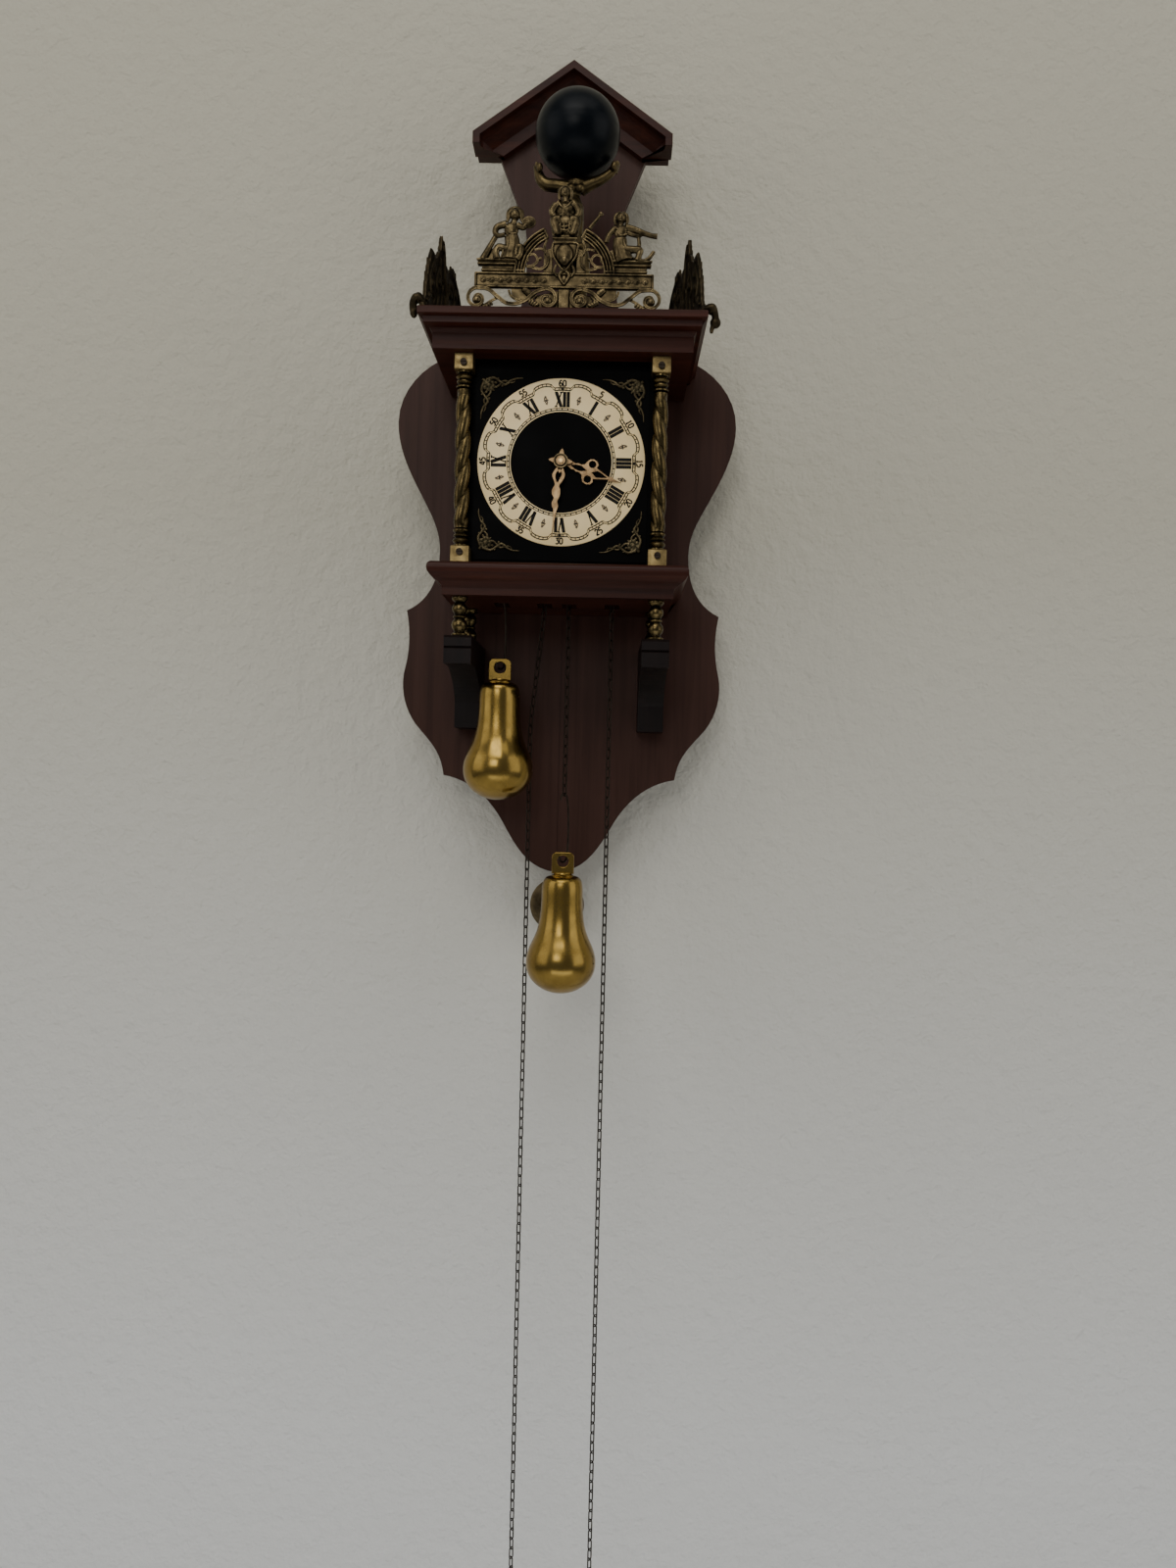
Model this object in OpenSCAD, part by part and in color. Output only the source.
// Weight-driven wall clock with a pendulum behind the board.
// +X is right, +Y goes into the wall, +Z is up. The wall face is y = 0 and the
// origin is the middle of the hanging hole. A depth is counted forward from the
// front face of the backboard, and a drawing in the XZ plane is extruded by depth.

/* [Backboard] */
// Gap between the wall and the back of the board
wall_gap = 35; // [28:1:45]
// Thickness of the backboard
board_t = 10; // [7:1:14]
// Half the width of the upper belly
belly_w = 146; // [135:1:155]
// Half the width of the lower belly
lower_w = 137; // [125:1:142]
// Half the width of the waist
waist_w = 107.5; // [104:0.5:112]
// Radius of the hanging hole
hang_r = 4; // [3:0.5:5]

/* [Gable] */
// Height of the roof apex over the hanging hole
apex_z = 64; // [58:1:70]
// Half the width over the eaves
eave_x = 84.5; // [78:0.5:90]
// Height of the top of the eaves
eave_z = 3; // [-2:1:8]
// How far the gable moulding stands in front of the board
gable_d = 24; // [18:1:30]

/* [Case] */
// Half the width of the case front
case_x = 81; // [78:0.5:84]
// Depth of the case front
case_d = 94; // [90:1:100]
// Height of the top of the hood
hood_z = -188.7; // [-192:0.1:-186]
// Thickness of the hood top board
hood_t = 11; // [9:1:13]
// Bottom of the cornice moulding
cornice_z = -214.6; // [-217:0.1:-213]
// Half the width over the cornice fillet
cornice_x = 109.5; // [107:0.5:112]
// Depth of the cornice fillet
cornice_d = 134; // [130:1:138]
// Top of the base moulding
base_z = -376.5; // [-380:0.5:-374]
// Height of the base moulding
base_h = 25; // [22:0.5:28]
// Half the width over the rounded base edge
base_x = 101; // [99:0.5:104]
// Depth of the rounded base edge
base_d = 116; // [113:1:120]
// Thickness of the side doors
door_t = 5; // [4:0.5:6]
// Gap round the doors
door_gap = 0.6; // [0.4:0.1:1]

/* [Dial] */
// Height of the dial centre
dial_z = -295; // [-296:0.5:-294]
// Outer radius of the chapter ring
ring_r = 65.7; // [62:0.1:66]
// Inner radius of the chapter ring
ring_in = 39.6; // [37:0.1:42]
// Angle of the minute hand from twelve
minute_at = 185.5; // [0:0.5:360]
// Angle of the hour hand from twelve
hour_at = 108.5; // [0:0.5:360]

/* [Brass trim] */
// Distance of each pillar from the middle
pillar_x = 76.5; // [75:0.5:77]
// Side of the square pillar blocks
pillar_block = 15.5; // [14:0.5:16.5]
// Radius of the barley twist
twist_r = 6.2; // [5:0.1:7]
// Radius of the globe
globe_r = 32.5; // [28:0.5:35]
// Depth of the middle of the globe
globe_d = 85; // [80:1:90]
// Thickness of the front ornament
ornament_t = 4; // [3:0.5:5]

/* [Brackets] */
// Distance of each bracket from the middle
bracket_x = 77; // [75:0.5:78]
// Thickness of a bracket
bracket_t = 21.5; // [18:0.5:23]
// Top of the brackets
bracket_z = -432.5; // [-436:0.5:-430]
// Depth of the brackets at the top
bracket_d = 104; // [100:1:108]

/* [Movement] */
// Distance between the movement plates
plate_gap = 36; // [36:0.5:37]
// Thickness of a movement plate
plate_t = 2; // [1.5:0.1:2.2]
// Radius at which the chain lies on its sprocket
sprocket_r = 17.5; // [17:0.1:17.8]
// Running clearance of a turning shaft, on the radius
run_fit = 0.05; // [0.03:0.01:0.08]
// Distance from the pendulum pivot to the middle of the bob
pendulum_len = 419; // [410:1:430]
// Radius of the pendulum bob
bob_r = 24; // [20:0.5:26]

/* [Chains and weights] */
// Wire thickness of a chain link
link_wire = 1.1; // [0.9:0.1:1.2]
// Pitch of the chain
link_pitch = 8; // [7.5:0.1:8.5]
// Outer width of a link
link_w = 4.6; // [4.3:0.1:4.8]
// Greatest radius of a weight
weight_r = 28.5; // [26:0.5:29]
// Height of a weight from its lug to its foot
weight_h = 115; // [110:1:118]

/* [Hidden] */
$fn = 48;

wood = "#4a2420";
dark_wood = "#2e1614";
black = "#15151a";
brass = "#b08d3c";
cream = "#e8dcb4";
steel = "#7d7d80";

// Frame and drawing helpers
front_y = wall_gap + board_t;
module at(d) { translate([0, -(front_y + d), 0]) children(); }
module sheet(d0, d1) { at(d0) rotate([90, 0, 0]) linear_extrude(d1 - d0) children(); }
module disc(x, z, d0, d1, r) { sheet(d0, d1) translate([x, z]) circle(r); }
module both() { children(); mirror([1, 0, 0]) children(); }
module turned(x, d, z) { translate([x, -(front_y + d), z]) rotate_extrude() children(); }

// A cubic curve from p to q, without its first point
function curve(p, a, b, q, n = 10) = [for (i = [1:n]) let (t = i / n, s = 1 - t)
    s*s*s*p + 3*s*s*t*a + 3*s*t*t*b + t*t*t*q];
function flip(pts) = [for (i = [len(pts) - 1:-1:0]) [-pts[i][0], pts[i][1]]];

// Backboard outline, right half, from the eave down to the foot
eave_low = -7;
neck_top = 63;
neck_low = [41, -62];
shoulder = [87, -177];
belly = [belly_w, -237];
flank = [124, -301];
waist = [waist_w, -348];
corner = [lower_w - 2, -400];
lower_bulge = [lower_w - 1.5, -450];
lower_flank = [lower_w - 11.5, -498];
foot_corner = [100, -541.8];
foot_side = [48.5, -580];
foot_tip = [0, -623.8];
board_half = concat(
    [[0, apex_z - 2], [eave_x - 2, eave_z - 1], [eave_x - 2, eave_low], [neck_top, eave_low]],
    [neck_low],
    curve(neck_low, [35, -85], [36, -150], [58, -168]),
    curve([58, -168], [67, -175], [77, -177], shoulder, 4),
    curve(shoulder, [112, -177], [belly_w, -202], belly),
    curve(belly, [belly_w, -262], [133, -284], flank),
    curve(flank, [116, -316], [waist_w, -330], waist),
    curve(waist, [waist_w, -376], [118, -392], corner),
    curve(corner, [lower_w - 5, -414], [lower_w - 6, -432], lower_bulge),
    curve(lower_bulge, [lower_w + 1.5, -462], [lower_w + 1, -481], lower_flank),
    curve(lower_flank, [113, -513], [103, -520], foot_corner),
    curve(foot_corner, [80, -545], [62, -557], foot_side),
    curve(foot_side, [38, -598], [27, -622], foot_tip));

// Where the arbors stand, as [x, z]
time_at = [25, -325];
strike_at = [-30, -325];
centre_at = [0, dial_z];
third_at = [22, -272];
escape_at = [0, -262];
anchor_at = [0, -236];
pin_at = [-38, -287];
warn_at = [-32, -262];
fly_at = [-20, -244];
hammer_at = [-55, -262];
minute_wheel_at = centre_at + [15, 0];
function apart(a, b) = norm(a - b);

// Depths inside the movement
back_plate_d = 34;
inner_back = back_plate_d + plate_t;
inner_front = inner_back + plate_gap;
front_plate_d = inner_front;
chain_d = 58;
pivot_r = 1.2;
arbor_r = 1.8;
sleeve_r = arbor_r + run_fit;

module backboard() {
    color(wood) difference() {
        sheet(-board_t, 0) polygon(concat(flip(board_half), board_half));
        sheet(-board_t - 1, 1) translate([-board_slot_w / 2, anchor_at[1] - 14])
            square([board_slot_w, 26]);
        // The seam between the two lower planks
        sheet(-0.6, 1) translate([-0.4, -615]) square([0.8, 210]);
    }
}
board_slot_w = 16;

// Two pads behind the lower belly and a block behind the gable
batten_w = 26;
batten_x = 62;
batten_low = -500;
batten_h = 95;
block_w = 60;
block_hole = 14;
module wall_battens() {
    color(dark_wood) {
        both() sheet(-front_y, -board_t) translate([batten_x, batten_low]) square([batten_w, batten_h]);
        difference() {
            sheet(-front_y, -board_t) translate([-block_w / 2, -30]) square([block_w, 62]);
            disc(0, 0, -front_y - 1, -front_y + block_hole, 9);
            sheet(-front_y - 1, -front_y + plate_h + 0.02)
                translate([-hanger_w / 2 - 0.1, -hanger_h / 2 - 0.1]) square([hanger_w + 0.2, hanger_h + 0.2]);
        }
    }
}

// Steel plate let over the hole in the block
plate_h = 3;
hanger_w = 40;
hanger_h = 24;
module hanger_plate() {
    color(steel) difference() {
        sheet(-front_y, -front_y + plate_h)
            translate([-hanger_w / 2, -hanger_h / 2]) square([hanger_w, hanger_h]);
        disc(0, 0, -front_y - 1, -front_y + plate_h + 1, hang_r);
    }
}

// A solid through rings of points, one ring for each station
module lofted(rings) {
    n = len(rings[0]);
    m = len(rings);
    polyhedron(points = [for (r = rings) each r], faces = concat(
        [[for (j = [0:n - 1]) j]],
        [for (i = [0:m - 2], j = [0:n - 1]) [i*n + j, (i + 1)*n + j,
            (i + 1)*n + (j + 1) % n, i*n + (j + 1) % n]],
        [[for (j = [n - 1:-1:0]) (m - 1)*n + j]]));
}

// Roof moulding. Each profile point is [inset from the roof line, depth]
roof_ang = atan2(apex_z - eave_z, eave_x);
gable_profile = concat([[0, 0.02], [0, gable_d - 1], [1, gable_d], [6, gable_d]],
    curve([6, gable_d - 1.5], [5.5, 12], [12, 13], [15, 9], 5),
    [[16, 8], [25, 7.5], [25, 0.02]]);
function roof_point(k, p) = let (
        x = k == 2 ? 0 : (eave_x - p[0]) * (k < 2 ? -1 : 1),
        z = k == 0 || k == 4 ? eave_low : apex_z - p[0] / cos(roof_ang) - abs(x) * tan(roof_ang))
    [x, -(front_y + p[1]), z];
module gable_moulding() {
    color(wood) lofted([for (k = [0:4]) [for (p = gable_profile) roof_point(k, p)]]);
}

// Mouldings that run round the front and both sides. Points are [half width, depth, height]
function wrap_point(k, p) = [p[0] * (k < 2 ? -1 : 1),
    -(front_y + (k == 0 || k == 3 ? 0.02 : p[1])), p[2]];
module wrapped(profile) {
    lofted([for (k = [0:3]) [for (p = profile) wrap_point(k, p)]]);
}
fascia_x = cornice_x - 9.3;
fascia_d = cornice_d - 18;
fillet_h = 5.4;
fascia_h = 12;
cornice_profile = concat(
    [[case_x + 0.02, case_d + 0.02, hood_z - hood_t], [cornice_x - 4, cornice_d - 4, hood_z - hood_t],
     [cornice_x - 4, cornice_d - 4, hood_z], [cornice_x - 0.8, cornice_d - 0.8, hood_z],
     [cornice_x, cornice_d, hood_z - 1], [cornice_x, cornice_d, hood_z - fillet_h]],
    curve([cornice_x - 1.2, cornice_d - 2, hood_z - fillet_h],
        [cornice_x - 1.6, cornice_d - 10, hood_z - fillet_h - 3],
        [fascia_x + 1.5, fascia_d + 3, hood_z - fillet_h - 4],
        [fascia_x, fascia_d, cornice_z + fascia_h], 6),
    [[fascia_x, fascia_d, cornice_z], [case_x + 0.02, case_d + 0.02, cornice_z]]);
module cornice_moulding() { color(wood) wrapped(cornice_profile); }

// Boards that close the case above and below
board_back = 0.02;
module hood_top() {
    color(wood) difference() {
        union() {
            sheet(board_back, cornice_d - 4.1) translate([-(cornice_x - 4.1), hood_z - hood_t + 0.02])
                square([2 * (cornice_x - 4.1), hood_t - 0.02]);
            both() sheet(board_back, case_d - frame_t - 0.02) translate([case_x - door_t, cornice_z])
                square([door_t, hood_z - hood_t - cornice_z + 1]);
        }
        door_pin_holes(cornice_z, 4);
    }
}
bead_r = 5.5;
base_low = base_z - base_h;
base_in_x = base_x - 11;
base_in_d = base_d - 10.4;
base_profile = concat(
    [[base_x - 12, base_d - 12, base_z]],
    curve([base_x - 5, base_d - 5, base_z], [base_x - 1, base_d - 1, base_z - 0.4],
        [base_x, base_d, base_z - 2.6], [base_x, base_d, base_z - bead_r], 5),
    curve([base_x, base_d, base_z - bead_r], [base_x, base_d, base_z - 9],
        [base_x - 2, base_d - 2, base_z - 10], [base_x - 4, base_d - 4, base_z - 12.5], 3),
    curve([base_x - 4, base_d - 4, base_z - 12.5], [base_x - 8, base_d - 8, base_z - 15],
        [base_in_x, base_in_d + 2, base_low + 8], [base_in_x, base_in_d, base_low + 5.4], 4),
    [[base_in_x, base_in_d, base_low], [base_x - 12, base_d - 12, base_low]]);
module base_moulding() { color(wood) wrapped(base_profile); }
base_board_x = base_x - 12.1;
slot_w = 12;
module base_board() {
    color(wood) difference() {
        sheet(board_back, base_d - 12.1) translate([-base_board_x, base_low])
            square([2 * base_board_x, base_h]);
        for (x = [time_at[0], strike_at[0]], s = [-1, 1])
            sheet(chain_d - 14, chain_d + 8) translate([x + s * sprocket_r - slot_w / 2, base_low - 1])
                square([slot_w, base_h + 2]);
        door_pin_holes(base_z - 4, 4.1);
    }
}

// Case front and the side doors, which turn on pins at their back edge
frame_t = 8;
window = 60;
module front_frame() {
    color(black) difference() {
        sheet(case_d - frame_t, case_d) translate([-case_x, base_z + 0.02])
            square([2 * case_x, cornice_z - base_z - 0.04 + 14.8]);
        sheet(case_d - frame_t - 1, case_d + 1) translate([-window, dial_z - window])
            square([2 * window, 2 * window]);
    }
}
hinge_x = case_x - door_t / 2;
hinge_d = 5;
pin_r = 1.2;
door_low = base_z + door_gap;
door_high = cornice_z - door_gap;
module door_pin_holes(z, h) {
    both() translate([hinge_x, -(front_y + hinge_d), z - 0.1]) cylinder(h = h, r = pin_r + run_fit);
}
module door() {
    color(wood) {
        translate([hinge_x, -(front_y + hinge_d), door_low])
            cylinder(h = door_high - door_low, r = door_t / 2);
        sheet(hinge_d, case_d - frame_t - door_gap) translate([case_x - door_t, door_low])
            square([door_t, door_high - door_low]);
    }
    color(brass) translate([hinge_x, -(front_y + hinge_d), door_low - 3])
        cylinder(h = door_high - door_low + 6, r = pin_r);
}
module right_door() { door(); }
module left_door() { mirror([1, 0, 0]) door(); }

// Console brackets, cut from board in side view
step_d = bracket_d - 28;
foot_d = 30;
bracket_side = concat([[0.02, bracket_z], [bracket_d - 2, bracket_z], [bracket_d, bracket_z - 2],
    [bracket_d, bracket_z - 8.5], [bracket_d - 1.2, bracket_z - 9.5], [bracket_d, bracket_z - 10.5],
    [bracket_d, bracket_z - 22], [step_d, bracket_z - 22]],
    curve([step_d, bracket_z - 22], [step_d - 14, bracket_z - 25], [foot_d + 6, bracket_z - 34],
        [foot_d, bracket_z - 48], 12),
    [[foot_d, bracket_z - 69], [0.02, bracket_z - 69]]);
module brackets() {
    color(dark_wood) both() translate([bracket_x - bracket_t / 2, -front_y, 0])
        rotate([90, 0, 90]) linear_extrude(bracket_t) polygon([for (p = bracket_side) [-p[0], p[1]]]);
}

// Turned brass: [radius, height] profiles from the foot up
function scaled(profile, h) = [for (p = profile) [p[0], p[1] * h]];
module lathe(profile, h) {
    rotate_extrude() polygon(concat([[0, 0]], scaled(profile, h), [[0, h]]));
}
function bulb(r0, r, z0, z1, n = 6) = [for (i = [0:n]) let (t = i / n)
    [r0 + (r - r0) * sin(180 * t), z0 + (z1 - z0) * t]];
baluster_profile = concat([[6, 0], [6, 0.06], [4.6, 0.1]], bulb(3.6, 6.2, 0.12, 0.42),
    [[4.4, 0.45], [4.4, 0.49]], bulb(3.6, 6, 0.52, 0.8), [[3.8, 0.84], [6.2, 0.95], [6.2, 1]]);
baluster_h = base_low - bracket_z;
baluster_front_d = 95;
baluster_rear_d = 27;
module balusters() {
    color(brass) both() for (d = [baluster_front_d, baluster_rear_d])
        translate([bracket_x, -(front_y + d), bracket_z + 0.02]) lathe(baluster_profile, baluster_h - 0.04);
}

pillar_low = base_z;
pillar_h = cornice_z - pillar_low;
pillar_d = case_d + pillar_block / 2 + 0.02;
cap_h = 15.5;
turned_h = 13;
shaft_h = pillar_h - 2 * cap_h - 2 * turned_h;
collar_profile = concat([[5.6, 0], [5.6, 0.1], [4.4, 0.16]], bulb(4.6, 6.6, 0.18, 0.5),
    [[4.6, 0.56], [6, 0.62], [6, 0.7], [4.8, 0.78], [6.4, 0.9], [6.4, 1]]);
twist_n = 20;
module twist_section() {
    polygon([for (i = [0:twist_n - 1]) let (a = 360 * i / twist_n)
        twist_r * (0.76 + 0.24 * cos(2 * a)) * [cos(a), sin(a)]]);
}
screw_hole_r = 1.3;
module pillar(turn) {
    translate([pillar_x, -(front_y + pillar_d), pillar_low + 0.02]) difference() {
        union() {
            for (z = [0, pillar_h - cap_h - 0.04]) translate([-pillar_block / 2, -pillar_block / 2, z])
                cube([pillar_block, pillar_block, cap_h]);
            translate([0, 0, cap_h]) lathe(collar_profile, turned_h);
            translate([0, 0, pillar_h - cap_h]) mirror([0, 0, 1]) lathe(collar_profile, turned_h);
            translate([0, 0, cap_h + turned_h])
                linear_extrude(shaft_h, twist = turn, slices = 30, $fn = twist_n) twist_section();
        }
        for (z = [cap_h / 2, pillar_h - cap_h / 2]) translate([0, -pillar_block / 2 - 1, z])
            rotate([-90, 0, 0]) cylinder(h = pillar_block + 2, r = screw_hole_r);
    }
}
module pillars() {
    color(brass) {
        pillar(-430);
        mirror([1, 0, 0]) pillar(-430);
    }
}
screw_head_r = 2.6;
module pillar_screws() {
    color(brass) both() for (z = [pillar_low + cap_h / 2, cornice_z - cap_h / 2])
        translate([pillar_x, -(front_y + case_d + pillar_block + 0.04), z]) rotate([90, 0, 0]) difference() {
            union() {
                cylinder(h = 1.2, r = screw_head_r);
                translate([0, 0, -pillar_block + 1]) cylinder(h = pillar_block, r = screw_hole_r - 0.1);
            }
            translate([-screw_head_r, -0.3, 0.6]) cube([2 * screw_head_r, 0.6, 1]);
        }
}

// Cast front ornament. Heights in these drawings count from the hood top
banner_z = 20.4;
banner_h = 11.6;
banner_x = 68.5;
ledge_z = 38;
arch_z = 32;
arch_in = 30;
arch_out = 38;
ornament_d = cornice_d - 19;
figure_z = 60;
function spiral(c, r, a0, turns, n = 18) = [for (i = [0:n]) let (t = i / n, a = a0 + 360 * turns * t)
    c + r * (1 - 0.8 * t) * [cos(a), sin(a)]];
// A strip of even width along points, as a closed outline
function strip(pts, w) = let (n = len(pts) - 1,
        side = [for (i = [0:n]) let (v = pts[min(i + 1, n)] - pts[max(i - 1, 0)], k = w / 2 / norm(v))
            [-v[1], v[0]] * k])
    concat([for (i = [0:n]) pts[i] + side[i]], [for (i = [n:-1:0]) pts[i] - side[i]]);
module stroke(pts, w) { polygon(strip(pts, w)); }
module ring_part(r0, r1, a0, a1, n = 12) {
    polygon(concat([for (i = [0:n]) r1 * [cos(a0 + (a1 - a0) * i / n), sin(a0 + (a1 - a0) * i / n)]],
        [for (i = [n:-1:0]) r0 * [cos(a0 + (a1 - a0) * i / n), sin(a0 + (a1 - a0) * i / n)]]));
}
module foot_scroll() {
    translate([-banner_x, 0]) square([2 * banner_x, 3]);
    both() {
        stroke(spiral([66, 9.5], 8.5, 80, -1.15), 2.6);
        stroke(spiral([14, 10], 8.8, 95, 1.15), 2.6);
        stroke(concat([[67.5, 18.4]], curve([67.5, 18.4], [52, 20], [46, 5], [36, 6]),
            curve([36, 6], [27, 7], [24, 19], [13.2, 18.8])), 2.8);
        stroke(concat([[44, 9]], curve([44, 9], [40, 18], [34, 14], [30, 20.6], 6)), 3);
        translate([66, 9.5]) circle(3);
        translate([14, 10]) circle(3);
        translate([40, 2.8]) circle(2.6);
    }
    translate([-3, 2]) square([6, 19]);
}
module pediment() {
    translate([-banner_x, banner_z]) square([2 * banner_x, banner_h]);
    both() {
        translate([28, banner_z + banner_h - 0.1]) square([33, ledge_z - banner_z - banner_h + 0.2]);
        translate([34, ledge_z - 0.1]) square([32, 4]);
        translate([0, arch_z]) ring_part(arch_in, arch_out, 8, 64);
        stroke(concat([[27, 35]], curve([27, 35], [20, 36], [22, 46], [13, 48]),
            curve([13, 48], [17, 52], [14, 57], [17, 60], 5)), 2.2);
        stroke(spiral([19, 40], 5, 200, 1), 1.8);
        stroke(concat([[9, 44]], curve([9, 44], [14, 44], [18, 50], [24, 49], 5)), 2);
    }
    // Shield and the block under the middle figure
    polygon(concat([[0, 31.5]], curve([0, 31.5], [7, 36], [11, 41], [9.5, 54], 6),
        [[-9.5, 54]], curve([-9.5, 54], [-11, 41], [-7, 36], [0, 31.5], 6)));
    translate([-12, 53.8]) square([24, 6.3]);
}
// Seated figures: outline of the dress, then limbs as strokes
module middle_figure() {
    polygon([[-11, figure_z], [-11.5, 72], [-8, 80], [-9, 86], [-4, 91], [4, 91], [9, 86], [8.5, 80],
        [11.5, 72], [10.5, figure_z]]);
    translate([-0.5, 94.6]) circle(5.4);
}
module side_figure() {
    polygon([[36, 42], [35, 52], [33, 62], [34, 71], [39, 74], [45, 71], [47, 62], [46, 54], [44, 42]]);
    stroke([[46, 54], [53, 55], [56, 50], [57, 42]], 5);
    stroke([[36, 44], [48, 43.5], [60, 43]], 4);
    stroke([[43, 69], [51, 69.5], [56, 66]], 4.6);
    translate([39.7, 77.4]) circle(5.6);
}
module relief(d, c) { at(ornament_d) translate([c[0], -d, hood_z + c[1]]) children(); }
module front_ornament() {
    color(brass) {
        at(0) translate([0, 0, hood_z + 0.02]) rotate([90, 0, 0]) translate([0, 0, ornament_d])
            linear_extrude(ornament_t) {
                foot_scroll();
                pediment();
                middle_figure();
                side_figure();
                mirror([1, 0]) side_figure();
                stroke([[54, 66], [61, 66.5], [68, 65]], 4);
                stroke([[15, 65], [21, 72], [25.5, 78]], 3);
                translate([-29.3, 73]) circle(5);
                stroke([[-34, 68], [-30, 71]], 3);
                stroke([[-62, 43], [-56, 57], [-52, 66]], 3);
            }
        // Raised heads, knees and shield boss
        relief(ornament_t, [-0.5, 94.6]) sphere(4.6);
        both() relief(ornament_t, [39.7, 77.4]) sphere(4.8);
        relief(ornament_t - 2, [0, 46]) sphere(6.5);
        both() relief(ornament_t, [51, 52]) sphere(3.2);
        both() relief(ornament_t, [5.5, 68]) sphere(3.6);
        sheet(ornament_d + ornament_t - 0.1, ornament_d + ornament_t + 1) translate([0, hood_z]) {
            difference() {
                translate([-banner_x, banner_z]) square([2 * banner_x, banner_h]);
                translate([-banner_x + 1.6, banner_z + 1.6]) square([2 * banner_x - 3.2, banner_h - 3.2]);
            }
            both() translate([0, arch_z]) ring_part(arch_in + 3, arch_in + 5, 8, 64);
            both() translate([0, arch_z]) ring_part(arch_out - 1.6, arch_out, 8, 64);
        }
    }
}

// Brass figure that carries the globe on raised arms
globe_x = 5;
globe_rise = 155.7;
globe_z = hood_z + globe_rise;
function limb_ring(p, r, n = 10) = [for (i = [0:n - 1]) p + r * [cos(360 * i / n), sin(360 * i / n), 0]];
module limb(pts, radii) { lofted([for (i = [0:len(pts) - 1]) limb_ring(pts[i], radii[i])]); }
cup_low = globe_z - globe_r;
module atlas_figure() {
    color(brass) translate([globe_x, -(front_y + globe_d), 0]) difference() {
        union() {
            translate([0, 0, hood_z + 0.02]) lathe([[17, 0], [17, 0.5], [13, 0.7], [14, 1]], 12);
            both() limb([[5, 0, hood_z + 10], [6, -1, hood_z + 34], [5.5, 1, hood_z + 58],
                [4, 0, hood_z + 66]], [5, 4.6, 6.2, 6]);
            limb([[0, 0, hood_z + 58], [0, 0, hood_z + 74], [0, 1, hood_z + 90], [0, 0, hood_z + 104],
                [0, 0, hood_z + 111]], [10, 8.5, 10, 12.5, 7]);
            translate([0, -3, hood_z + 115]) sphere(6.6);
            both() limb([[5, 0, hood_z + 109], [13, 0, hood_z + 116], [22, 0, hood_z + 122.5],
                [28.5, 0, hood_z + 130], [32, 0, hood_z + 137]], [6, 5, 4.2, 3.6, 2.4]);
            translate([0, 0, cup_low - 13]) cylinder(h = 17, r1 = 5, r2 = 13);
        }
        translate([0, 0, globe_z]) sphere(globe_r + 0.05);
    }
}
module globe() {
    color("#101624") translate([globe_x, -(front_y + globe_d), globe_z]) sphere(globe_r, $fn = 64);
}

// Pierced castings along the two sides of the hood
fret_x = 103;
fret_t = 4;
fret_from = 22;
fret_len = 106;
fret_turn = 9;
module side_frets() {
    color(brass) both() translate([fret_x, -front_y - fret_from - fret_len, hood_z + 0.02])
        rotate([0, 0, fret_turn]) translate([-fret_t / 2, fret_len, 0])
        rotate([90, 0, 90]) linear_extrude(fret_t) mirror([1, 0]) {
            square([fret_len, 4]);
            stroke(spiral([fret_len - 8, 10], 9, 100, -1.1), 3);
            stroke(spiral([10, 10], 9, 80, 1.1), 3);
            stroke(concat([[99, 19]], curve([99, 19], [84, 22], [80, 8], [66, 14]),
                curve([66, 14], [58, 20], [66, 34], [56, 40])), 4);
            stroke(concat([[9, 19]], curve([9, 19], [22, 22], [26, 8], [40, 14]),
                curve([40, 14], [48, 20], [38, 34], [48, 40])), 4);
            difference() {
                polygon([[13, 3], [17, 16], [21, 30], [28, 35], [36, 33], [41, 39], [45, 50], [50, 60],
                    [53, 66], [56, 59], [60, 48], [66, 45], [74, 44], [81, 38], [88, 26], [93, 14],
                    [96, 3]]);
                for (p = [[26, 12], [34, 24], [46, 14], [60, 20], [72, 12], [76, 30], [54, 38]])
                    translate(p) circle(3.4);
            }
        }
}

// Dial: black plate, chapter ring, corner castings and the two hands
plate_x = 71;
dial_t = 1.5;
dial_high = cornice_z - 8;
dial_low = base_z + 4.5;
ring_t = 1.2;
pipe_r = 3.6;
dial_face = case_d + dial_t + 0.02;
module dial_plate() {
    color(black) difference() {
        sheet(case_d + 0.02, case_d + dial_t) translate([-plate_x + 3, dial_low])
            square([2 * plate_x - 6, dial_high - dial_low]);
        disc(0, dial_z, case_d - 1, case_d + 5, pipe_r + 0.6);
    }
}
module chapter_ring() {
    color(cream) sheet(dial_face, dial_face + ring_t) translate([0, dial_z]) difference() {
        circle(ring_r, $fn = 96);
        circle(ring_in, $fn = 96);
    }
}
spandrel_x = 65;
spandrel_up = 66.5;
spandrel_down = 71;
spandrel_arm = 34;
module spandrel() {
    // Corner at the origin, arms along -X and -Z
    translate([-7, -7]) circle(6);
    for (m = [0, 1]) mirror([m, -m]) {
        stroke(concat([[-8, -4]], curve([-8, -4], [-16, 0], [-18, -8], [-24, -5], 6),
            curve([-24, -5], [-29, -2.5], [-31, -3], [-spandrel_arm, -1.6], 5)), 3);
        translate([-15, -8]) circle(2.6);
        translate([-24, -3.6]) circle(2.2);
    }
}
module spandrels() {
    color(brass) for (s = [-1, 1], v = [[1, spandrel_up], [-1, spandrel_down]])
        sheet(dial_face, dial_face + 2) translate([s * spandrel_x, dial_z + v[0] * v[1]])
            scale([1, 1]) mirror([s < 0 ? 1 : 0, 0]) mirror([0, v[0] < 0 ? 1 : 0]) spandrel();
}
hour_d = dial_face + ring_t + 1.2;
minute_d = hour_d + 2.4;
hand_t = 1;
minute_len = 63;
hour_len = 48.5;
cannon_r = 2.4;
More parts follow.
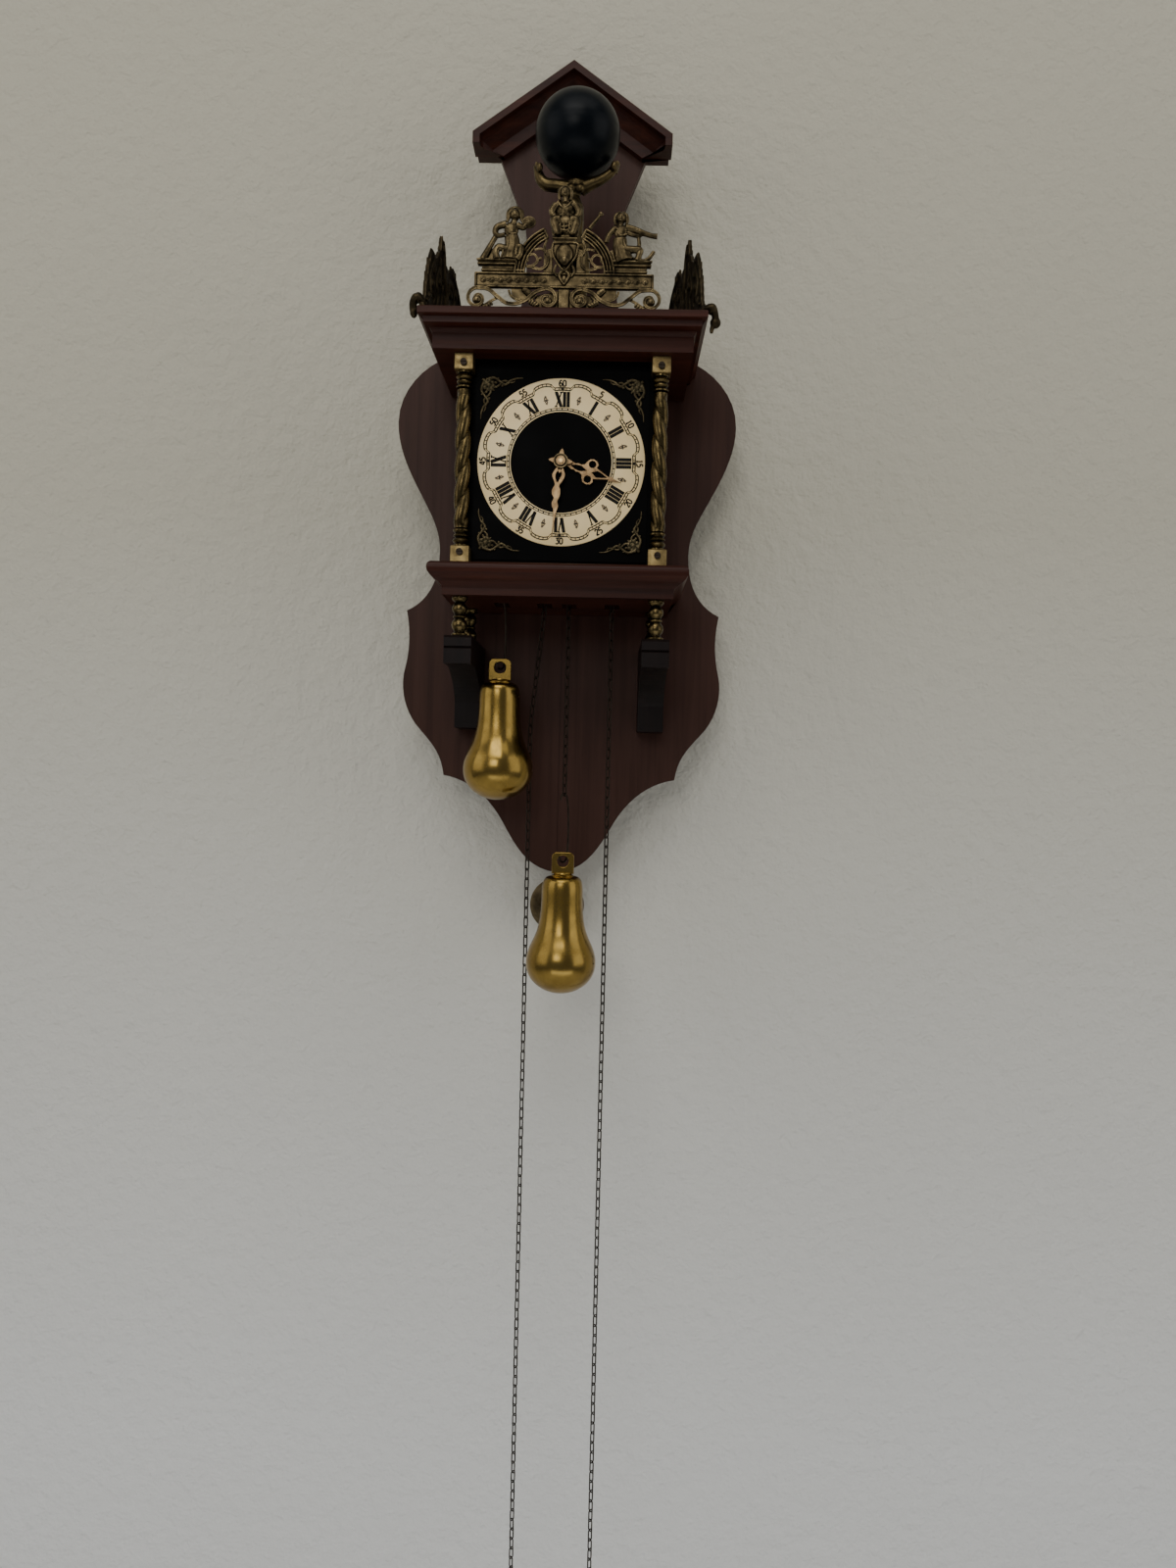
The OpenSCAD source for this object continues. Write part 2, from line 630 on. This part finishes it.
hour_pipe_in = cannon_r + 0.25;
// Outer corners are rounded a little, as stamped brass is
hub_fit = 0.08;
module softened() { offset(r = 0.2, $fn = 16) offset(delta = -0.2) children(); }
module hand_hub(r, bore) {
    difference() {
        union() {
            circle(r);
            for (a = [45:90:315]) rotate(a) polygon([[2, -2], [r + 3.5, 0], [2, 2]]);
        }
        circle(bore);
    }
}
module minute_hand() {
    color(brass) sheet(minute_d, minute_d + hand_t) translate([0, dial_z]) rotate(-minute_at) softened() {
        hand_hub(5.2, cannon_r + hub_fit);
        difference() {
            union() {
                stroke(concat([[-0.5, 4.6]], curve([-0.5, 4.6], [-5, 9], [-4.6, 15], [0, 20]),
                    curve([0, 20], [3.4, 24], [2.4, 29], [0, 33], 5)), 2.4);
                stroke(concat([[0.5, 4.6]], curve([0.5, 4.6], [4.4, 9], [4.4, 15], [0, 20]),
                    curve([0, 20], [-3, 24], [-2.4, 29], [0, 33], 5)), 2);
                polygon([[-1.7, 32], [-2.1, 35], [0, minute_len], [2.1, 35], [1.7, 32]]);
                translate([0, 20]) circle(2);
            }
            translate([0, 14]) circle(1.2);
        }
    }
}
module hour_hand() {
    color(brass) sheet(hour_d, hour_d + hand_t) translate([0, dial_z]) rotate(-hour_at) softened() {
        hand_hub(5.6, pipe_r + hub_fit);
        difference() {
            union() {
                polygon([[-2, 4], [-3.2, 10], [-1.4, 16], [1.4, 16], [3.2, 10], [2, 4]]);
                for (s = [-1, 1]) translate([s * 5.4, 24]) circle(4.8);
                polygon([[0, 14], [-4, 22], [-3, 30], [0, hour_len], [3, 30], [4, 22]]);
            }
            for (s = [-1, 1]) translate([s * 5.6, 24]) circle(2.7);
            polygon([[0, 19], [-1.5, 24], [0, 30], [1.5, 24]]);
            translate([0, 9.6]) circle(1.3);
        }
    }
}
nut_r = 3.4;
module hand_nut() {
    color(brass) difference() {
        union() {
            disc(0, dial_z, minute_d + hand_t + 0.02, minute_d + hand_t + 1.4, nut_r);
            disc(0, dial_z, minute_d + hand_t + 1.3, minute_d + hand_t + 2.6, nut_r - 1);
        }
        disc(0, dial_z, minute_d, minute_d + hand_t + 4, pivot_r + 0.02);
    }
}

// Movement plates
plate_w = 66;
plate_low = base_z + 0.02;
plate_high = -226;
pillar_at = [[-plate_w + 6, plate_low + 7], [plate_w - 6, plate_low + 7],
    [-plate_w + 4, plate_high - 26], [plate_w - 4, plate_high - 26]];
post_r = 3.5;
pivots = [time_at, strike_at, centre_at, third_at, escape_at, anchor_at, pin_at, warn_at, fly_at, hammer_at];
module movement_plate(d) {
    difference() {
        sheet(d, d + plate_t) translate([-plate_w, plate_low]) square([2 * plate_w, plate_high - plate_low]);
        for (p = pivots) disc(p[0], p[1], d - 1, d + plate_t + 1, pivot_r + run_fit);
        for (p = pillar_at) disc(p[0], p[1], d - 1, d + plate_t + 1, pivot_r);
    }
}
module front_plate() { color(brass) movement_plate(front_plate_d); }
module back_plate() { color(brass) movement_plate(back_plate_d); }
module plate_pillars() {
    color(brass) for (p = pillar_at) {
        disc(p[0], p[1], inner_back + 0.02, inner_front - 0.02, post_r);
        disc(p[0], p[1], back_plate_d - 2, front_plate_d + plate_t + 2, pivot_r - 0.05);
        disc(p[0], p[1], front_plate_d + plate_t + 0.05, front_plate_d + plate_t + 2, 2.6);
        disc(p[0], p[1], back_plate_d - 2, back_plate_d - 0.05, 2.6);
    }
    // Straps that hold the movement to the board
    color(brass) for (p = pillar_at) disc(p[0], p[1], 0.02, back_plate_d - 2.1, post_r);
}

// Toothed wheels. A tooth points along the angle phase
module toothed(n, r, phase) {
    m = 2 * r / n;
    polygon([for (i = [0:n - 1]) let (a = phase + 360 * i / n, s = 360 / n)
        for (q = [[-0.23, -1.2], [-0.18, 0], [-0.08, 0.7], [0.08, 0.7], [0.18, 0], [0.23, -1.2]])
            (r + q[1] * m) * [cos(a + q[0] * s), sin(a + q[0] * s)]]);
}
wheel_t = 2;
module wheel(c, n, r, d, phase) {
    m = 2 * r / n;
    rim = r - 1.2 * m - 2.2;
    sheet(d, d + wheel_t) translate(c) {
        difference() {
            toothed(n, r, phase);
            circle(rim);
        }
        circle(4);
        for (a = [0:90:270]) rotate(a) translate([0, -1.2]) square([rim + 0.5, 2.4]);
    }
}
module pinion(c, n, r, d, h, phase) { sheet(d, d + h) translate(c) toothed(n, r, phase); }
module arbor(c, d0 = 0, d1 = 0, r = arbor_r) {
    disc(c[0], c[1], inner_back + 0.2, inner_front - 0.2, r);
    disc(c[0], c[1], back_plate_d - 0.3 - d0, inner_front + plate_t + 0.3 + d1, pivot_r);
}
function way(a, b) = atan2(b[1] - a[1], b[0] - a[0]);
// Pitch radius of a wheel of n teeth that meshes with one of k teeth
function share(a, b, n, k) = apart(a, b) * n / (n + k);
function gap_phase(a, b, n) = way(a, b) + 180 / n;
great_n = 72;
great_leaf = 9;
centre_n = 60;
third_leaf = 8;
third_n = 75;
escape_leaf = 6;
escape_n = 30;
strike_n = 70;
pin_leaf = 8;
pin_n = 60;
warn_leaf = 6;
warn_n = 48;
fly_leaf = 6;
time_wheel_d = 50;
centre_wheel_d = 44;
third_wheel_d = 66.5;
escape_d = 40;
strike_wheel_d = 64.5;
pin_wheel_d = 40;
warn_wheel_d = 67;
module time_great_wheel() {
    color(brass) {
        wheel(time_at, great_n, share(time_at, centre_at, great_n, great_leaf), time_wheel_d,
            way(time_at, centre_at));
        arbor(time_at);
    }
}
module strike_great_wheel() {
    color(brass) {
        wheel(strike_at, strike_n, share(strike_at, pin_at, strike_n, pin_leaf), strike_wheel_d,
            way(strike_at, pin_at));
        arbor(strike_at);
    }
}
flange_t = 1;
groove = 5.2;
flange_r = sprocket_r + 1.6;
module sprocket(c) {
    color(steel) difference() {
        union() {
            disc(c[0], c[1], chain_d - groove / 2, chain_d + groove / 2, sprocket_r - link_w / 2 - 0.6);
            for (d = [chain_d - groove / 2 - flange_t, chain_d + groove / 2])
                disc(c[0], c[1], d, d + flange_t, flange_r);
        }
        disc(c[0], c[1], chain_d - 10, chain_d + 10, sleeve_r);
        for (a = [0:60:300], d = [chain_d - groove / 2 - flange_t]) sheet(d - 1, d + groove + 3)
            translate(c) rotate(a) translate([9, 0]) circle(2.6);
    }
}
module time_sprocket() { sprocket(time_at); }
module strike_sprocket() { sprocket(strike_at); }
arbor_front = minute_d + hand_t + 2.6;
module centre_wheel() {
    color(brass) {
        wheel(centre_at, centre_n, share(centre_at, third_at, centre_n, third_leaf), centre_wheel_d,
            way(centre_at, third_at));
        pinion(centre_at, great_leaf, share(centre_at, time_at, great_leaf, great_n), time_wheel_d - 1.5, 5,
            gap_phase(centre_at, time_at, great_leaf));
        arbor(centre_at, 0, arbor_front - inner_front - plate_t - 0.3);
    }
}
module third_wheel() {
    color(brass) {
        wheel(third_at, third_n, share(third_at, escape_at, third_n, escape_leaf), third_wheel_d,
            way(third_at, escape_at));
        pinion(third_at, third_leaf, share(third_at, centre_at, third_leaf, centre_n), centre_wheel_d - 1.5, 5,
            gap_phase(third_at, centre_at, third_leaf));
        arbor(third_at);
    }
}
escape_r = 16;
module escape_wheel() {
    color(brass) {
        sheet(escape_d, escape_d + wheel_t) translate(escape_at) {
            difference() {
                polygon([for (i = [0:escape_n - 1]) let (a = 360 * i / escape_n)
                    for (q = [[0, escape_r], [3.2, escape_r - 3], [10, escape_r - 3]])
                        q[1] * [cos(a + q[0]), sin(a + q[0])]]);
                circle(escape_r - 5.2);
            }
            circle(3.4);
            for (a = [45:90:315]) rotate(a) translate([0, -1]) square([escape_r - 4.8, 2]);
        }
        pinion(escape_at, escape_leaf, share(escape_at, third_at, escape_leaf, third_n), third_wheel_d - 1.5, 5,
            gap_phase(escape_at, third_at, escape_leaf));
        arbor(escape_at, r = pivot_r + run_fit);
    }
}
cannon_n = 12;
minute_n = 36;
minute_leaf = 10;
hour_n = 40;
work_d = front_plate_d + plate_t + 1;
hour_wheel_d = work_d + 5;
module cannon_pinion() {
    color(brass) difference() {
        union() {
            pinion(centre_at, cannon_n, share(centre_at, minute_wheel_at, cannon_n, minute_n), work_d, 3.5,
                way(centre_at, minute_wheel_at));
            disc(0, dial_z, work_d, minute_d + hand_t, cannon_r);
        }
        disc(0, dial_z, work_d - 1, minute_d + hand_t + 1, pivot_r + 0.02);
    }
}
module minute_wheel() {
    c = minute_wheel_at;
    color(brass) difference() {
        union() {
            pinion(c, minute_n, share(c, centre_at, minute_n, cannon_n), work_d + 0.5, 2,
                gap_phase(c, centre_at, minute_n));
            pinion(c, minute_leaf, share(c, centre_at, minute_leaf, hour_n), work_d + 2.4, 5.6,
                way(c, centre_at));
        }
        disc(c[0], c[1], work_d - 1, work_d + 10, pivot_r + run_fit);
    }
}
module hour_wheel() {
    color(brass) difference() {
        union() {
            pinion(centre_at, hour_n, share(centre_at, minute_wheel_at, hour_n, minute_leaf), hour_wheel_d, 2,
                gap_phase(centre_at, minute_wheel_at, hour_n));
            disc(0, dial_z, hour_wheel_d, hour_d + hand_t, pipe_r - 0.02);
        }
        disc(0, dial_z, hour_wheel_d - 1, hour_d + hand_t + 1, hour_pipe_in);
    }
}

// Pallets, crutch and pendulum
behind_d = -board_t;
crutch_d = -19.5;
pendulum_d = -27;
fork_z = anchor_at[1] - 62;
pallet_span = 11;
module anchor() {
    color(steel) {
        sheet(escape_d, escape_d + wheel_t) translate(anchor_at) {
            circle(3.6);
            for (s = [-1, 1]) mirror([s < 0 ? 1 : 0, 0]) {
                polygon([[0, 3], [0, -2], [pallet_span - 1.4, -7.5], [pallet_span - 1.4, -11.4],
                    [pallet_span + 0.9, -11.4], [pallet_span + 1.6, -5]]);
            }
        }
        disc(anchor_at[0], anchor_at[1], inner_back + 0.2, inner_front - 0.2, arbor_r);
        disc(anchor_at[0], anchor_at[1], crutch_d - 1.5, inner_front + plate_t + 0.3, pivot_r);
    }
}
rod_r = 1.2;
module crutch() {
    color(steel) {
        sheet(crutch_d - 1.6, crutch_d) translate(anchor_at) difference() {
            union() {
                circle(3.4);
                translate([-1.3, fork_z - anchor_at[1]]) square([2.6, 60]);
            }
            circle(pivot_r + 0.02);
        }
        sheet(pendulum_d - 4, crutch_d) translate([0, fork_z]) difference() {
            translate([-4, -1.3]) square([8, 2.6]);
            translate([-rod_r - 0.3, -2]) square([2 * rod_r + 0.6, 4]);
        }
        sheet(crutch_d - 2.4, crutch_d) translate([-4, fork_z - 1.3]) square([8, 2.6]);
    }
}
cock_w = 24;
cock_z = anchor_at[1] + 14;
spring_gap = 0.5;
module suspension_cock() {
    color(brass) difference() {
        union() {
            sheet(behind_d - 2.5, behind_d - 0.02) translate([-cock_w / 2, cock_z]) square([cock_w, 16]);
            sheet(pendulum_d - 3, behind_d - 2.4) translate([-5, cock_z + 2]) square([10, 8]);
        }
        sheet(pendulum_d - 4, pendulum_d + 4) translate([-spring_gap / 2, cock_z]) square([spring_gap, 7]);
        for (s = [-1, 1]) disc(s * 8.5, cock_z + 8, behind_d - 4, behind_d + 1, 1.4);
    }
}
spring_t = 0.3;
clip_h = 10;
bob_z = anchor_at[1] - pendulum_len;
clip_top = anchor_at[1] + 1;
module suspension_spring() {
    color(steel) sheet(pendulum_d - 2.5, pendulum_d + 2.5) translate([-spring_t / 2, anchor_at[1] - 3])
        square([spring_t, cock_z + 6.5 - anchor_at[1] + 3]);
}
module pendulum_rod() {
    color(steel) {
        sheet(pendulum_d - 3, pendulum_d + 3) translate([-2, clip_top - clip_h]) difference() {
            square([4, clip_h]);
            translate([2 - spring_t / 2 - 0.35, clip_h - 5.5]) square([spring_t + 0.7, 6]);
        }
        translate([0, -(front_y + pendulum_d), bob_z - bob_r - 8])
            cylinder(h = clip_top - clip_h - bob_z + bob_r + 8.1, r = rod_r);
        translate([0, -(front_y + pendulum_d), bob_z - bob_r - 6]) cylinder(h = 3, r = 3.4);
    }
}
bob_t = 5;
module pendulum_bob() {
    color(brass) difference() {
        translate([0, -(front_y + pendulum_d), bob_z]) rotate([90, 0, 0]) rotate_extrude()
            polygon(concat([[0, -bob_t]], curve([0, -bob_t], [10, -bob_t], [18, -3.4], [bob_r, -0.8], 8),
                curve([bob_r, 0.8], [18, 3.4], [10, bob_t], [0, bob_t], 8)));
        translate([0, -(front_y + pendulum_d), bob_z - bob_r - 2]) cylinder(h = 2 * bob_r + 4, r = rod_r + 0.05);
    }
}

// Strike train
pin_circle = 21.3;
module pin_wheel() {
    color(brass) {
        wheel(pin_at, pin_n, share(pin_at, warn_at, pin_n, warn_leaf), pin_wheel_d, way(pin_at, warn_at));
        pinion(pin_at, pin_leaf, share(pin_at, strike_at, pin_leaf, strike_n), strike_wheel_d - 1.5, 5,
            gap_phase(pin_at, strike_at, pin_leaf));
        arbor(pin_at);
        for (i = [0:7]) disc(pin_at[0] + pin_circle * cos(45 * i), pin_at[1] + pin_circle * sin(45 * i),
            pin_wheel_d - 3, pin_wheel_d + 0.5, 0.9);
    }
}
module warning_wheel() {
    color(brass) {
        wheel(warn_at, warn_n, share(warn_at, fly_at, warn_n, fly_leaf), warn_wheel_d, way(warn_at, fly_at));
        pinion(warn_at, warn_leaf, share(warn_at, pin_at, warn_leaf, pin_n), pin_wheel_d - 1.5, 5,
            gap_phase(warn_at, pin_at, warn_leaf));
        arbor(warn_at);
    }
}
fly_len = 10.5;
module fly() {
    color(brass) {
        pinion(fly_at, fly_leaf, share(fly_at, warn_at, fly_leaf, warn_n), warn_wheel_d - 1.5, 5,
            gap_phase(fly_at, warn_at, fly_leaf));
        arbor(fly_at);
        sheet(50, 62) translate(fly_at) rotate(20) translate([-fly_len, -0.4]) square([2 * fly_len, 0.8]);
    }
}
bell_at = [-30, 54];
hammer_len = 41;
bell_r = 20;
bell_z = -216;
head_r = 3;
module hammer() {
    color(steel) {
        arbor(hammer_at);
        sheet(46, 48.5) translate(hammer_at) {
            circle(4);
            stroke([[0, 0], [0, 20], [0, hammer_len]], 2.2);
        }
        sheet(37.5, 39.5) translate(hammer_at) {
            circle(3.4);
            stroke([[0, 0], [0, -6.5]], 2);
        }
        at(47.2) translate([hammer_at[0], 0, hammer_at[1] + hammer_len]) rotate([0, 90, 0])
            translate([0, 0, -4]) cylinder(h = 8, r = head_r);
    }
}
module bell() {
    color(steel) difference() {
        turned(bell_at[0], bell_at[1], bell_z) polygon(concat([[bell_r, -3]],
            curve([bell_r, -3], [bell_r - 1, 4], [bell_r - 3, 11], [0, 11.5], 8), [[0, 10]],
            curve([0, 10], [bell_r - 5, 9.6], [bell_r - 2.6, 3], [bell_r - 1.6, -3], 8)));
        translate([bell_at[0], -(front_y + bell_at[1]), bell_z]) cylinder(h = 20, r = 1);
    }
    color(steel) translate([bell_at[0], -(front_y + bell_at[1]), plate_high]) {
        translate([0, 0, -3]) cylinder(h = bell_z + 9.9 - plate_high + 3, r = 2);
        cylinder(h = bell_z + 13 - plate_high, r = 0.9);
    }
    color(steel) sheet(inner_back + 0.02, inner_front - 0.02) translate([bell_at[0] - 3, plate_high - 3.5])
        square([6, 3]);
}

// Pear weights with a drilled lug, and the long hooks that carry them
weight_x = [time_at[0] - sprocket_r, strike_at[0] - sprocket_r];
lug_drop = 7.2;
lug_hole_r = 4.8;
lug_w = 18;
lug_t = 6;
lug_h = 17;
time_hook_top = -554;
strike_hook_top = -397.5;
hook_wire = 1.6;
hook_play = 0.55;
hook_len = 57.5;
function foot_of(top) = top - hook_len + hook_wire + lug_hole_r + (lug_drop - lug_hole_r) - weight_h + 0.1;
pear = concat([[0, 0]], curve([0, 0], [15, 0], [weight_r, 11], [weight_r, 28], 12),
    curve([weight_r, 28], [weight_r, 43], [20.6, 58], [17.8, 80], 10),
    curve([17.8, 80], [17.2, 88], [16.5, 93.5], [9, 95.4], 6),
    [[9, 97.2], [7, 97.6], [7, weight_h - lug_h], [0, weight_h - lug_h]]);
module weight(x, top) {
    z = foot_of(top);
    color(brass) difference() {
        union() {
            turned(x, chain_d, z) polygon(pear);
            sheet(chain_d - lug_t / 2, chain_d + lug_t / 2) {
                translate([x - lug_w / 2, z + weight_h - lug_h - 0.4]) square([lug_w, lug_h - 3.6]);
                translate([x - lug_w / 2 + 4, z + weight_h - 8]) square([lug_w - 8, 8]);
                for (s = [-1, 1]) translate([x + s * (lug_w / 2 - 4), z + weight_h - 4]) circle(4);
            }
        }
        disc(x, z + weight_h - lug_drop, chain_d - lug_t, chain_d + lug_t, lug_hole_r);
    }
}
module time_weight() { weight(weight_x[0], time_hook_top); }
module strike_weight() { weight(weight_x[1], strike_hook_top); }
hook_turn = 55;
function hook_line(w, low, high) = concat([[-w, high - w]],
    curve([-w, high - w], [-w, high - w * 0.4], [-w * 0.6, high], [0, high], 5),
    curve([0, high], [w * 0.9, high], [w * 1.2, high - 12], [w * 1.25, (low + high) / 2], 6),
    curve([w * 1.25, (low + high) / 2], [w * 1.25, low + 14], [w, low + w], [w, low + w], 5),
    curve([w, low + w], [w, low + w * 0.4], [w * 0.6, low], [0, low], 5),
    curve([0, low], [-w * 0.6, low], [-w, low + w * 0.4], [-w, low + w], 5));
module hook(x, top) {
    color(steel) translate([x, -(front_y + chain_d), top]) rotate([0, 0, hook_turn]) rotate([90, 0, 0])
        translate([0, 0, -hook_wire / 2]) linear_extrude(hook_wire) difference() {
            polygon(hook_line(5.8, -hook_len, 0));
            polygon(hook_line(5.8 - hook_wire, -hook_len + hook_wire, -hook_wire));
        }
}
module time_hook() { hook(weight_x[0], time_hook_top); }
module strike_hook() { hook(weight_x[1], strike_hook_top); }

// Chain links are flat stadium rings that hang in each other, turned in turn
link_slack = 0.4;
link_in = link_pitch + link_slack;
link_out = link_in + 2 * link_wire;
chain_top = -316;
free_end = -1224;
module stadium(len, w) {
    square([w, len - w], center = true);
    for (s = [-1, 1]) translate([0, s * (len - w) / 2]) circle(w / 2, $fn = 24);
}
module link() {
    rotate([90, 0, 0]) translate([0, 0, -link_wire / 2]) linear_extrude(link_wire) difference() {
        stadium(link_out, link_w);
        stadium(link_in, link_w - 2 * link_wire);
    }
}
// Point at arc length s down a path, with the direction there
function leg(p, i) = norm(p[i + 1] - p[i]);
function along(p, s, i = 0) = i >= len(p) - 2 || s <= leg(p, i)
    ? [p[i] + (p[i + 1] - p[i]) * s / leg(p, i), (p[i + 1] - p[i]) / leg(p, i)]
    : along(p, s - leg(p, i), i + 1);
module chain(path, n, first) {
    color(steel) for (k = [0:n - 1]) {
        q = along(path, first + k * link_pitch);
        translate([q[0][0], -(front_y + q[0][1]), q[0][2]])
            rotate([asin(-q[1][1]), 0, 0]) rotate([0, asin(-q[1][0]), 0]) rotate([0, 0, (k + n) % 2 == 0 ? 45 : -45])
                link();
    }
}
module weight_run(x, top) {
    last = top + link_in / 2 - hook_wire - hook_play;
    n = floor((chain_top - last - link_out / 2) / link_pitch) + 1;
    chain([[x, chain_d, last + (n - 1) * link_pitch], [x, chain_d, last - 10]], n, 0);
}
free_n = floor((chain_top - free_end) / link_pitch);
module time_chain() { weight_run(weight_x[0], time_hook_top); }
module strike_chain() { weight_run(weight_x[1], strike_hook_top); }
time_free_x = time_at[0] + sprocket_r;
strike_free_x = strike_at[0] + sprocket_r;
// The strike run is pushed aside by the time weight
aside_x = -23;
aside_d = 39;
time_free_path = [[time_free_x, chain_d, chain_top], [time_free_x, chain_d, free_end - 50]];
strike_free_path = [[strike_free_x, chain_d, chain_top], [strike_free_x, chain_d, -408],
    [aside_x, aside_d, -500], [aside_x, aside_d, free_end - 50]];
module time_free_chain() { chain(time_free_path, free_n, link_out / 2); }
module strike_free_chain() { chain(strike_free_path, free_n, link_out / 2); }
ring_out = 9;
ring_wire = 1.8;
module end_ring(path) {
    q = along(path, link_out / 2 + (free_n - 1) * link_pitch)[0];
    color(brass) translate([q[0], -(front_y + q[1]), q[2] - link_in / 2 + 0.12 + ring_wire - ring_out])
        rotate([0, 0, 45]) rotate([90, 0, 0]) rotate_extrude() translate([ring_out - ring_wire / 2, 0])
            circle(ring_wire / 2, $fn = 24);
}
module time_chain_ring() { end_ring(time_free_path); }
module strike_chain_ring() { end_ring(strike_free_path); }

backboard();
wall_battens();
hanger_plate();
gable_moulding();
hood_top();
cornice_moulding();
front_frame();
left_door();
right_door();
base_moulding();
base_board();
brackets();
balusters();
pillars();
pillar_screws();
front_ornament();
atlas_figure();
globe();
side_frets();
dial_plate();
chapter_ring();
spandrels();
minute_hand();
hour_hand();
hand_nut();
front_plate();
back_plate();
plate_pillars();
time_great_wheel();
time_sprocket();
centre_wheel();
third_wheel();
escape_wheel();
cannon_pinion();
minute_wheel();
hour_wheel();
anchor();
crutch();
suspension_cock();
suspension_spring();
pendulum_rod();
pendulum_bob();
strike_great_wheel();
strike_sprocket();
pin_wheel();
warning_wheel();
fly();
hammer();
bell();
time_weight();
time_hook();
strike_weight();
strike_hook();
time_chain();
time_free_chain();
strike_chain();
strike_free_chain();
time_chain_ring();
strike_chain_ring();
